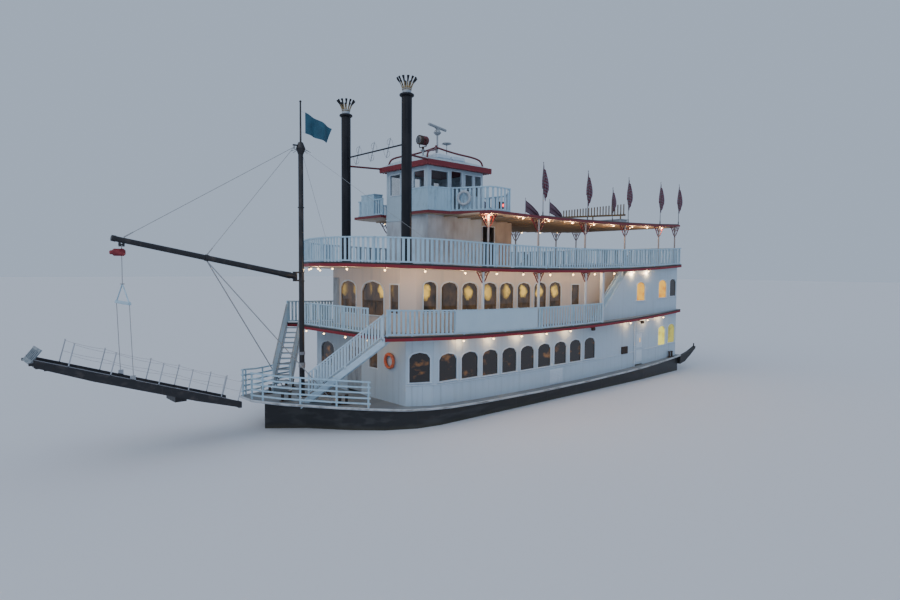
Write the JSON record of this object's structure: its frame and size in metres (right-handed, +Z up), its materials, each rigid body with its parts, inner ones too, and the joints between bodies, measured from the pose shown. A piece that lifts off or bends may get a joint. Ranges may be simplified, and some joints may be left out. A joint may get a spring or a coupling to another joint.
{
  "type": "sternwheel paddle steamer",
  "caption": "River passenger steamer with stacked railed decks, tall crowned stacks, a pilothouse, a stern wheel, and a landing stage slung from a boom over the bow.",
  "frame": {"origin": "on the centreline of the flat bottom, about amidships, 12.75 m ahead of the transom", "axes": "+X forward to the bow, +Y to port, +Z up; z = 0 is the flat bottom and the waterline is at z = 1.25 m"},
  "size_m": [38.225, 9.4, 16.05],
  "materials": {
    "hull_paint": "satin black",
    "deck_grey": "matt deck paint with a white edge",
    "red_trim": "satin dark red",
    "canopy_tan": "matt tan",
    "white_paint": "satin white, lightly streaked",
    "engine_steel": "painted iron",
    "banner_cloth": "plain white banner cloth",
    "white_plastic": "gloss white",
    "lamp_housing": "dark red and black enamel",
    "stack_black": "satin black",
    "spar_black": "satin black",
    "wire_rope": "weathered wire rope",
    "stage_steel": "dark steel with a grey deck",
    "apron_grey": "grey slats",
    "wheel_red": "red paint, worn at the floats",
    "flag_cloth": "striped bunting",
    "teal_cloth": "plain teal bunting",
    "organ_brass": "dull brass"
  },
  "bodies": {
    "boat": {"hull": "hull_paint", "main_deck": "deck_grey", "second_deck": "red_trim", "top_deck": "red_trim", "canopy_roof": "canopy_tan", "main_house_port": "white_paint", "main_house_starboard": "white_paint", "main_house_front": "white_paint", "main_house_stern": "white_paint", "drive_engine": "engine_steel", "upper_house_port": "white_paint", "upper_house_starboard": "white_paint", "upper_house_front": "white_paint", "upper_house_stern": "white_paint", "front_stair_port": "white_paint", "front_stair_starboard": "white_paint", "aft_stair_port": "white_paint", "aft_stair_starboard": "white_paint", "second_rail_port": "white_paint", "second_rail_starboard": "white_paint", "second_rail_front": "white_paint", "banner_board_port": "banner_cloth", "banner_board_starboard": "banner_cloth", "top_deck_rail": "white_paint", "pilothouse_rail": "white_paint", "bow_rail_port": "white_paint", "bow_rail_starboard": "white_paint", "tower_cabin": "white_paint", "pilothouse_port": "white_paint", "pilothouse_starboard": "white_paint", "pilothouse_front": "white_paint", "pilothouse_aft": "white_paint", "pilothouse_roof": "red_trim", "stack_port": "stack_black", "stack_starboard": "stack_black", "stack_brace": "stack_black", "mast": "spar_black", "stern_frame": "hull_paint", "flag_row_port": "flag_cloth", "flag_row_starboard": "flag_cloth", "jack_flag": "teal_cloth", "whistle_organ": "organ_brass"},
    "side_door_port": {"main_side_door_port": "white_paint"},
    "side_door_starboard": {"main_side_door_starboard": "white_paint"},
    "front_door": {"main_front_door": "white_paint"},
    "pilot_door": {"pilothouse_door": "white_paint"},
    "radar": {"radar_scanner": "white_plastic"},
    "searchlight": {"searchlight": "lamp_housing"},
    "boom": {"boom": "spar_black", "topping_lifts": "wire_rope", "hoist_fall": "wire_rope"},
    "hoist": {"spreader_bridle": "wire_rope"},
    "stage": {"landing_stage": "stage_steel"},
    "apron": {"stage_apron": "apron_grey"},
    "wheel": {"paddle_wheel": "wheel_red"},
    "rudder_port": {"rudder_port": "hull_paint"},
    "rudder_starboard": {"rudder_starboard": "hull_paint"}
  },
  "joints": [
    {"name": "wheel_spin", "type": "hinge", "parent": "boat", "child": "wheel", "pos_m": [-14.5, 0, 2.3], "axis": [0, 1, 0], "continuous": true},
    {"name": "rudder_turn", "type": "hinge", "parent": "boat", "child": "rudder_port", "pos_m": [-11.2, 1.6, 0.4], "axis": [0, 0, 1], "range_deg": [-35, 35]},
    {"name": "rudder_link", "type": "hinge", "parent": "boat", "child": "rudder_starboard", "pos_m": [-11.2, -1.6, 0.4], "axis": [0, 0, 1], "range_deg": [-35, 35]},
    {"name": "radar_spin", "type": "hinge", "parent": "boat", "child": "radar", "pos_m": [4.87, 0, 15], "axis": [0, 0, 1], "continuous": true},
    {"name": "searchlight_pan", "type": "hinge", "parent": "boat", "child": "searchlight", "pos_m": [6.1, 0.35, 14.1], "axis": [0, 0, 1], "range_deg": [-170, 170]},
    {"name": "boom_swing", "type": "hinge", "parent": "boat", "child": "boom", "pos_m": [12.8, 0, 7.49], "axis": [0, 0, 1], "range_deg": [-50, 50]},
    {"name": "stage_hoist", "type": "slide", "parent": "boom", "child": "hoist", "axis": [0, 0, 1], "range_m": [-1.2, 0.05], "deforming": ["hoist_fall"]},
    {"name": "stage_tilt", "type": "hinge", "parent": "hoist", "child": "stage", "pos_m": [19.3, 0, 4.07], "axis": [0, 1, 0], "range_deg": [-10, 15]},
    {"name": "apron_fold", "type": "hinge", "parent": "stage", "child": "apron", "pos_m": [22.18, 0, 4.805], "axis": [0, 1, 0], "range_deg": [0, 120]},
    {"name": "side_door_port_swing", "type": "hinge", "parent": "boat", "child": "side_door_port", "pos_m": [-7.45, 4.118, 3.1], "axis": [0, 0, -1], "range_deg": [0, 95]},
    {"name": "side_door_starboard_swing", "type": "hinge", "parent": "boat", "child": "side_door_starboard", "pos_m": [-7.45, -4.118, 3.1], "axis": [0, 0, 1], "range_deg": [0, 95]},
    {"name": "front_door_swing", "type": "hinge", "parent": "boat", "child": "front_door", "pos_m": [9.718, 0.35, 3.1], "axis": [0, 0, 1], "range_deg": [0, 90]},
    {"name": "pilot_door_swing", "type": "hinge", "parent": "boat", "child": "pilot_door", "pos_m": [3.182, 0.4, 11.5], "axis": [0, 0, -1], "range_deg": [0, 90]}
  ],
  "couplings": [
    {"joint": "rudder_link", "follows": "rudder_turn", "ratio": 1}
  ]
}
